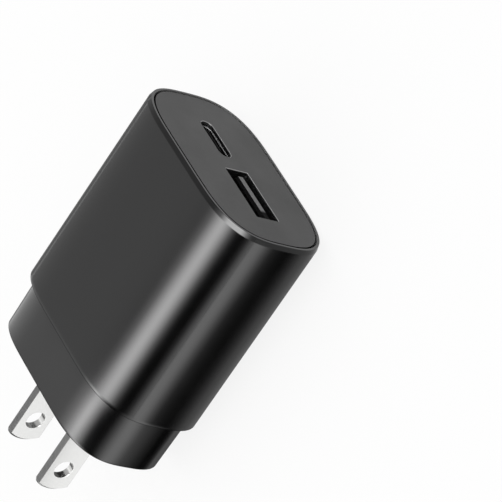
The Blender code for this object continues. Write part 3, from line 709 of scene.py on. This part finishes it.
# On the plug end, the rounded edge of its face gets the painted shade.
dress(plug, plug_black, painted_shade_black)
for face in plug.data.polygons:
    face.material_index = int(rounded_from < face.normal.y < rounded_to)
# On the plate, the mouths' chamfers get the painted highlight, and the plate's outer edge the painted
# shade.
dress(plate, plate_black, mouth_highlight, painted_shade_black)
for face in plate.data.polygons:
    if on_plate_edge(face.center):
        face.material_index = 2 * int(outward(face) > 0 and face.normal.y > front_face)
    else:
        face.material_index = int(chamfered(face))
print("black finishes on", sleeve.name, plug.name, plate.name)

# %% [markdown]
# ## Bright metal
# The blades are nickel plated. Their faces are rolled flat and polished, and their narrow sides are
# where the die sheared the strip, which leaves them rougher. Those faces get a finish of their own:
# rougher, and with painted shade, a colour much darker than nickel.

# %% Bright metal
face_nickel = drawn_metal("face_nickel", (0.82, 0.82, 0.81), (0.86, 0.86, 0.85), (0.2, 0.26),
                          (1, 0.05, 1), 0.12 * MM, 0.0002 * MM)
# Partly painted shade: the sheared sides are rougher, and their colour is painted far darker than
# nickel.
sheared_shaded_nickel = drawn_metal("sheared_shaded_nickel", (0.15, 0.15, 0.15), (0.21, 0.21, 0.208), (0.3, 0.42),
                             (0.1, 1, 1), 0.1 * MM, 0.002 * MM)
tip_lean = 0.1
side_lean = 0.3
for blade in blades.values():
    dress(blade, face_nickel, sheared_shaded_nickel)
    for face in blade.data.polygons:
        off_hole = math.hypot(face.center.y - hole_middle, face.center.z) > hole_width / 2 + edge_round
        narrow_side = abs(face.normal.y) < tip_lean and abs(face.normal.z) > side_lean
        face.material_index = int(narrow_side and off_hole)
print("blades have", sum(face.material_index for face in blade.data.polygons), "sheared faces each")

# %% [markdown]
# ## Ports
# Inside each mouth sits a metal shell, plated dark, round a black tongue with gold contacts. Their CAD
# solids already have the right form at this size, so they keep it and only get finishes. The middle of
# the front of the wide port's tongue is a paler grey. That band could be a separate piece. Here it is
# part of the tongue's finish, found by where a point lies and which way the surface faces.

# %% Ports
shell_dark = drawn_metal("shell_dark", (0.04, 0.04, 0.041), (0.07, 0.07, 0.071), (0.35, 0.5),
                         (1, 0.1, 1), 0.1 * MM, 0.001 * MM)
contact_gold = drawn_metal("contact_gold", (0.68, 0.48, 0.18), (0.8, 0.6, 0.26), (0.2, 0.32),
                           (1, 0.1, 1), 0.06 * MM, 0.0006 * MM)
# The middle of the tongue's front face is a paler grey.
pale_middle = -5.55 * MM
pale_half = 4.3 * MM
pale_end = 5.2 * MM
front_from = -0.8
front_full = -0.97
tongue_black, tree, shader, place = new_finish("tongue_black")
fine = noise(tree, place, 0.08 * MM)
facing = split(tree, tree.nodes.new("ShaderNodeTexCoord").outputs["Normal"])
on_front = eased(tree, facing["Y"], front_from, front_full)
from_middle = reckon(tree, "SUBTRACT", split(tree, place)["X"], pale_middle)
near_middle = eased(tree, reckon(tree, "ABSOLUTE", from_middle, 0), pale_end, pale_half)
pale_front = reckon(tree, "MULTIPLY", on_front, near_middle)
tongue_shade = tint(tree, pale_front, (0.004, 0.004, 0.0041), (0.16, 0.16, 0.161))
tree.links.new(tongue_shade, shader.inputs["Base Color"])
tree.links.new(spread(tree, fine, 0.45, 0.6), shader.inputs["Roughness"])
shader.inputs["Specular IOR Level"].default_value = dull_shine
relief(tree, fine, 0.001 * MM, shader)
for name, node in nodes.items():
    if name.endswith("_shell"):
        dress(node, shell_dark)
    elif name.endswith("_insulator"):
        dress(node, tongue_black)
    elif "_contact_" in name:
        dress(node, contact_gold)
print("port finishes:", shell_dark.name, contact_gold.name, tongue_black.name)

# %% [markdown]
# ## Shell of the slim port
# The drawn tube of the slim port has a small step inside its front. The upward faces of that step are
# painted a lighter metal, a painted highlight that draws a fine light line. The CAD tube is plain, so
# the shell gets a skin: rounded outlines, one for each corner of its wall, joined round into a tube.

# %% Shell of the slim port
# Painted highlight: a lighter, rougher metal that draws the fine light line on the step.
lip_highlight_steel = drawn_metal("lip_highlight_steel", (0.1, 0.1, 0.101), (0.13, 0.13, 0.131), (0.6, 0.7),
                        (1, 0.1, 1), 0.1 * MM, 0.0002 * MM)
slim_low, slim_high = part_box("usb_c_shell")
shell_slack = 0.16 * MM
shell_sheet = 0.3 * MM
lip_depth = 0.42 * MM
lip_step = 0.14 * MM
upper_lean = 0.3
slim_width = slim_mouth[0] - shell_slack
slim_height = slim_high.z - slim_low.z
lip_inset = shell_sheet - lip_step
lip_back = slim_low.y + lip_depth
slim_profile = [(shell_sheet, slim_high.y), (shell_sheet, lip_back), (lip_inset, lip_back - lip_step),
                (lip_inset, slim_low.y), (0, slim_low.y), (0, slim_high.y)]
slim_rings = []
for inset, y in slim_profile:
    height = slim_height - 2 * inset
    outline = rounded_box(slim_x, (slim_width - 2 * inset, height, height / 2))
    slim_rings.append(at_depth(outline, y))
shape = bmesh.new()
skin(shape, slim_rings, closed=True)
slim_shell = new_object("slim_shell_skin", shape)
stand_for(slim_shell, "usb_c_shell")
dress(slim_shell, shell_dark, lip_highlight_steel)
# The upward-facing faces of the step's chamfer get the painted highlight.
for face in slim_shell.data.polygons:
    face.material_index = int(chamfered(face) and face.normal.z > upper_lean)

# %% [markdown]
# ## Inside
# Nothing of the inside shows while the charger is closed, but the pieces are there, and a finish for
# each makes them ready for an open view: green boards with a woven glass ground, dull ferrite, taped
# windings, capacitors in their sleeves.

# %% Inside
board_green = moulded("board_green", (0.012, 0.08, 0.03), (0.025, 0.13, 0.055), (0.35, 0.5),
                      0.5 * MM, 0.01 * MM)
fibre_sheet = moulded("fibre_sheet", (0.07, 0.07, 0.06), (0.13, 0.13, 0.115), (0.7, 0.85),
                      0.2 * MM, 0.01 * MM)
nylon_white = moulded("nylon_white", (0.68, 0.68, 0.66), (0.78, 0.78, 0.76), (0.4, 0.55),
                      0.2 * MM, 0.004 * MM)
ferrite_grey = moulded("ferrite_grey", (0.025, 0.025, 0.026), (0.055, 0.055, 0.057), (0.5, 0.7),
                       0.15 * MM, 0.01 * MM)
chip_black = moulded("chip_black", (0.01, 0.01, 0.0105), (0.022, 0.022, 0.0225), (0.5, 0.65),
                     0.08 * MM, 0.004 * MM)
sleeve_film = moulded("sleeve_film", (0.02, 0.02, 0.024), (0.035, 0.035, 0.04), (0.25, 0.4),
                      0.4 * MM, 0.004 * MM)
dipped_blue = moulded("dipped_blue", (0.04, 0.12, 0.42), (0.06, 0.17, 0.55), (0.3, 0.45),
                      0.6 * MM, 0.01 * MM)
tape_yellow = moulded("tape_yellow", (0.65, 0.45, 0.05), (0.8, 0.6, 0.1), (0.25, 0.4),
                      0.5 * MM, 0.006 * MM)
can_silver = drawn_metal("can_silver", (0.6, 0.6, 0.62), (0.76, 0.76, 0.78), (0.25, 0.4),
                         (1, 1, 0.1), 0.15 * MM, 0.001 * MM)
spring_bronze = drawn_metal("spring_bronze", (0.5, 0.2, 0.09), (0.65, 0.29, 0.14), (0.25, 0.4),
                            (1, 0.1, 1), 0.1 * MM, 0.001 * MM)
inside = {
    board_green: ["main_board", "port_board"],
    fibre_sheet: ["insulation_sheet"],
    nylon_white: ["prong_carrier", "transformer_bobbin"],
    ferrite_grey: ["input_choke", "transformer_core_lower", "transformer_core_upper"],
    chip_black: ["fuse", "sync_rectifier", "optocoupler", "power_switch", "bridge_rectifier",
                 "charge_controller"],
    sleeve_film: ["bulk_capacitor_1", "bulk_capacitor_2"],
    dipped_blue: ["safety_capacitor"],
    tape_yellow: ["transformer_winding"],
    can_silver: ["output_capacitor_1", "output_capacitor_2", "heat_sink"],
    spring_bronze: ["blade_spring_left", "blade_spring_right"],
}
for material, names in inside.items():
    for name in names:
        dress(nodes[name], material)
print("inner pieces with a finish:", sum(len(names) for names in inside.values()))

# %% [markdown]
# ## Floor
# The charger lies on a white table that runs out of the picture. A floor lit like the object would
# come out grey or uneven, so most of what the camera sees of it is plain white light, and the rest is
# an ordinary matte surface that keeps the soft shadow under the charger.

# %% Floor
floor_z = cad_low.z
floor_half = 3.0
floor_white = (0.95, 0.95, 0.95, 1)
white_share = 0.86


def flat_object(name, corners, z):
    """One flat face through the corners, at a height."""
    shape = bmesh.new()
    shape.faces.new([shape.verts.new((x, y, z)) for x, y in corners])
    return new_object(name, shape)


def bare_material(name):
    """Material whose usual shader is taken out, and its node tree."""
    material = bpy.data.materials.new(name)
    material.use_nodes = True
    tree = material.node_tree
    tree.nodes.remove(tree.nodes["Principled BSDF"])
    return material, tree


def show(tree, shader):
    """Let the surface show what a shader puts out."""
    tree.links.new(shader, tree.nodes["Material Output"].inputs["Surface"])


corners = [(-floor_half, -floor_half), (floor_half, -floor_half), (floor_half, floor_half),
           (-floor_half, floor_half)]
floor = flat_object("white_table", corners, floor_z)
white, tree = bare_material("table_white")
matte = tree.nodes.new("ShaderNodeBsdfDiffuse")
matte.inputs["Color"].default_value = floor_white
glow = tree.nodes.new("ShaderNodeEmission")
rays = tree.nodes.new("ShaderNodeLightPath")
seen = reckon(tree, "MAXIMUM", rays.outputs["Is Camera Ray"], rays.outputs["Is Glossy Ray"])
seen = reckon(tree, "MAXIMUM", seen, rays.outputs["Is Transmission Ray"])
mix = tree.nodes.new("ShaderNodeMixShader")
tree.links.new(reckon(tree, "MULTIPLY", seen, white_share), mix.inputs["Fac"])
tree.links.new(matte.outputs["BSDF"], mix.inputs[1])
tree.links.new(glow.outputs["Emission"], mix.inputs[2])
show(tree, mix.outputs["Shader"])
dress(floor, white)
print("table at", round(floor_z / MM, 2), "mm")

# %% [markdown]
# ## Light
# Glossy black shows nothing but its surroundings. A photographer hangs a long soft box over such a
# body for the bright band along its shoulder, stands black flags beside it for the dark bands, and
# bounces a weaker light in from low down. All of these run along the body, so they can be told apart
# by one angle round it. They end a little behind the charger, where the studio is dim. In front stands
# another box, further to the left, which puts the glint on the bevel of the rim. The world is plain
# white for everything but reflections, and for those it shows the boxes.

# %% Bands of light
side_bands = [(-180, 0.3), (-100, 0.3), (-80, 0.7), (-45, 1.0), (-29, 1.0), (-20, 2.4), (-5, 9.7),
              (2, 11.5), (9, 10.0), (26, 2.8), (34, 1.0), (42, 0.2), (50, 0.0), (63, 0.0), (74, 0.45),
              (90, 2.5), (180, 2.5)]
front_bands = [(-180, 0.3), (-60, 0.5), (-20, 0.5), (-6, 2.4), (10, 13.5), (48, 13.5), (64, 4.0),
               (76, 0.9), (88, 0.6), (180, 0.6)]


def band_light(tree, value, bands):
    """Brightness from bands of (place, brightness); value is 0 at the first place, 1 at the last."""
    first, last = bands[0][0], bands[-1][0]
    top = max(brightness for place, brightness in bands)
    ramp = tree.nodes.new("ShaderNodeValToRGB")
    elements = ramp.color_ramp.elements
    while len(elements) > 1:
        elements.remove(elements[-1])
    for index, (place, brightness) in enumerate(bands):
        share = (place - first) / (last - first)
        element = elements[0] if index == 0 else elements.new(share)
        element.position = share
        level = brightness / top
        element.color = (level, level, level, 1)
    tree.links.new(value, ramp.inputs["Fac"])
    return reckon(tree, "MULTIPLY", ramp.outputs["Color"], top)


print("light bands:", len(side_bands), "at the sides and", len(front_bands), "in front")

# %% [markdown]
# ## The studio
# The bands become a world. Its angle round the body picks the band, and how far a direction leans along
# the body fades one row of boxes out and the next one in. The front boxes fill all that lies towards
# the port end, and the side boxes the part beside the body.

# %% The studio
side_reach = (0.04, 0.24, 0.56, 0.75)
front_reach = (-2, -1.5, 0.04, 0.24)
dim_studio = 0.02

world = bpy.data.worlds.new("studio")
bpy.context.scene.world = world
world.use_nodes = True
tree = world.node_tree
tree.nodes.clear()
way = split(tree, tree.nodes.new("ShaderNodeTexCoord").outputs["Generated"])
angle = reckon(tree, "ARCTAN2", reckon(tree, "MULTIPLY", way["X"], -1), way["Z"])
turn = eased(tree, angle, -math.pi, math.pi, "LINEAR")


def box_light(bands, reach):
    """Light of one row of boxes, which fades in and out along the body."""
    nearest, near, far, farthest = reach
    fade_in = eased(tree, way["Y"], nearest, near)
    fade_out = eased(tree, way["Y"], farthest, far)
    light = reckon(tree, "MULTIPLY", band_light(tree, turn, bands), fade_in)
    return reckon(tree, "MULTIPLY", light, fade_out)


all_boxes = reckon(tree, "ADD", box_light(side_bands, side_reach), box_light(front_bands, front_reach))
boxes = tree.nodes.new("ShaderNodeBackground")
tree.links.new(reckon(tree, "ADD", all_boxes, dim_studio), boxes.inputs["Strength"])
plain = tree.nodes.new("ShaderNodeBackground")
plain.inputs["Color"].default_value = (1, 1, 1, 1)
rays = tree.nodes.new("ShaderNodeLightPath")
mix = tree.nodes.new("ShaderNodeMixShader")
tree.links.new(rays.outputs["Is Glossy Ray"], mix.inputs["Fac"])
tree.links.new(plain.outputs["Background"], mix.inputs[1])
tree.links.new(boxes.outputs["Background"], mix.inputs[2])
output = tree.nodes.new("ShaderNodeOutputWorld")
tree.links.new(mix.outputs["Shader"], output.inputs["Surface"])
print("studio of", len(tree.nodes), "nodes")

# %% [markdown]
# ## Reflector on the table
# Below the horizon the body mirrors the table. A white table would wash out its lower side, so a
# photographer lays a card there, dark next to the body and bright further out, with an even grey strip
# at its front end for the bevel of the rim. The card is only for reflections: the camera, the shadows
# and the soft light pass through it. It leaves the table free beside the blades, whose polished faces
# need the white.

# %% Reflector on the table
card_bands = [(-600, 2.7), (-140, 2.9), (-76, 2.7), (-55, 2.0), (-36, 0.1), (-30, 0.0), (-22, 0.65),
              (-18, 0.35), (-15, 0.1), (15, 0.1), (22, 0.3), (300, 0.3)]
card_left, card_right = card_bands[0][0], card_bands[-1][0]
card_front = rim_front / MM
card_back = 100
far_out = 600
beside_body = -24
beside_blades = 4
strip_front = -48.6
strip_back = -46
strip_light = 0.6
card_lift = 0.05 * MM


def only_mirrored(piece):
    """Let a piece show in reflections and nowhere else."""
    piece.visible_camera = False
    piece.visible_diffuse = False
    piece.visible_shadow = False
    piece.visible_transmission = False
    piece.visible_volume_scatter = False


def glow_with(tree, light):
    """Let the surface give light of its own, as bright as a value says."""
    glow = tree.nodes.new("ShaderNodeEmission")
    tree.links.new(light, glow.inputs["Strength"])
    show(tree, glow.outputs["Emission"])


card_outline = [(card_left, -far_out), (beside_body, -far_out), (beside_body, card_front),
                (card_right, card_front), (card_right, card_back), (0, card_back), (0, beside_blades),
                (beside_body, beside_blades), (beside_body, far_out), (card_left, far_out)]
card = flat_object("reflector_card", [(x * MM, y * MM) for x, y in card_outline], floor_z + card_lift)
card_glow, tree = bare_material("card_glow")
spot = split(tree, tree.nodes.new("ShaderNodeTexCoord").outputs["Object"])
span = eased(tree, spot["X"], card_left * MM, card_right * MM, "LINEAR")
above_strip = reckon(tree, "SUBTRACT", band_light(tree, span, card_bands), strip_light)
behind_strip = eased(tree, spot["Y"], strip_front * MM, strip_back * MM)
glow_with(tree, reckon(tree, "ADD", reckon(tree, "MULTIPLY", above_strip, behind_strip), strip_light))
dress(card, card_glow)
only_mirrored(card)
print("card bands:", len(card_bands))

# %% [markdown]
# ## Reflector over the plug end
# The plug end has highlights of its own, which do not line up with those of the sleeve. A curved card
# hangs over it like a piece of gutter, in the way of its reflections alone. Where its front edge has
# to be could be found by trial; here it is traced like a ray in a mirror: from the camera to a point
# of the step, back off the surface, and out to the gutter, or to the table where that comes first.
# Each row of the card remembers the way the surface faces that sees it, and that angle sets how bright
# the row is. The step lies between the straight sleeve and the leaning wall of the plug end, so it is
# given half of that lean.

# %% Reflector over the plug end
gutter_radius = 50 * MM
gutter_length = 14 * MM
gutter_lift = 0.1 * MM
gutter_bands = [(-30, 1.2), (-10, 1.2), (-2, 1.0), (3, 1.1), (8, 2.7), (12, 5.6), (16, 9.6), (19, 9.2),
                (24, 4.8), (28, 2.2), (32, 0.4), (36, 0.02), (40, 0.0), (46, 0.0), (52, 0.12),
                (60, 0.95), (68, 2.2), (74, 2.85), (80, 2.6), (84, 1.8), (88, 0.8), (92, 0.12),
                (95, 0.0), (99, 0.0), (104, 0.1), (112, 0.6)]
first_turn, last_turn = gutter_bands[0][0], gutter_bands[-1][0]
row_turn = 2
past_mouth = 0.4 * MM
step_depth = sleeve_mouth + past_mouth
half_lean = plug_draft / (plug_high.y - plug_step)


def mirrored_to_gutter(turn):
    """Where the camera sees the gutter in the step, at a place that faces turn degrees to the left."""
    facing = math.radians(turn)
    spot = end_point(abs(facing), plug_inset / 2)
    point = Vector((-math.copysign(spot.x, turn), step_depth, spot.y))
    outwards = Vector((-math.sin(facing), half_lean, math.cos(facing))).normalized()
    ray = (point - eye).normalized().reflect(outwards)
    flat_ray, flat_point = ray.xz, point.xz
    along = flat_ray.dot(flat_point)
    room = gutter_radius ** 2 - flat_point.length_squared
    way_out = (math.sqrt(along ** 2 + flat_ray.length_squared * room) - along) / flat_ray.length_squared
    if ray.z < 0:
        way_out = min(way_out, (floor_z + gutter_lift - point.z) / ray.z)
    return point + ray * way_out


shape = bmesh.new()
remembered = shape.verts.layers.float.new("facing")
row_before = None
for turn in range(first_turn, last_turn + 1, row_turn):
    front = mirrored_to_gutter(turn)
    row = [shape.verts.new(front), shape.verts.new(front + Vector((0, gutter_length, 0)))]
    for vert in row:
        vert[remembered] = (turn - first_turn) / (last_turn - first_turn)
    if row_before:
        shape.faces.new((*row_before, *reversed(row)))
    row_before = row
gutter = new_object("gutter_card", shape)
gutter_glow, tree = bare_material("gutter_glow")
recalled = tree.nodes.new("ShaderNodeAttribute")
recalled.attribute_name = "facing"
glow_with(tree, band_light(tree, recalled.outputs["Fac"], gutter_bands))
dress(gutter, gutter_glow)
only_mirrored(gutter)
print("gutter card with", len(gutter.data.polygons), "rows")

# %% [markdown]
# ## Colours as they are
# Film-like view transforms bend colours to look pleasing. Here a colour should come out as it was
# written, so the plain one is chosen.

# %% View
bpy.context.scene.view_settings.view_transform = "Standard"
